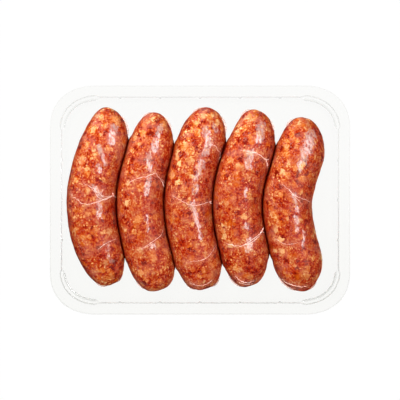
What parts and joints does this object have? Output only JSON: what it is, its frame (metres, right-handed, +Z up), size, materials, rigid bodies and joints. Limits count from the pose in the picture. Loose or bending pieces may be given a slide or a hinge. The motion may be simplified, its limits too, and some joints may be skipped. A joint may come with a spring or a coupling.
{
  "type": "tray of raw sausages",
  "caption": "Open clear plastic tray holding thick raw sausages of coarsely minced meat in natural casing, laid side by side.",
  "frame": {"origin": "centre of the tray's flat underside", "axes": "+X across the row of sausages, +Y along them towards their tops in the picture, +Z up out of the tray"},
  "size_m": [0.19, 0.145, 0.04],
  "materials": {
    "tray_plastic": "thin clear formed sheet",
    "sausage_1_meat": "moist casing over coarse red meat and fat",
    "sausage_2_meat": "moist casing over coarse red meat and fat",
    "sausage_3_meat": "moist casing over coarse red meat and fat",
    "sausage_4_meat": "moist casing over coarse red meat and fat",
    "sausage_5_meat": "moist casing over coarse red meat and fat"
  },
  "bodies": {
    "root": {"tray": "tray_plastic", "sausage_1": "sausage_1_meat", "sausage_2": "sausage_2_meat", "sausage_3": "sausage_3_meat", "sausage_4": "sausage_4_meat", "sausage_5": "sausage_5_meat"}
  },
  "joints": []
}
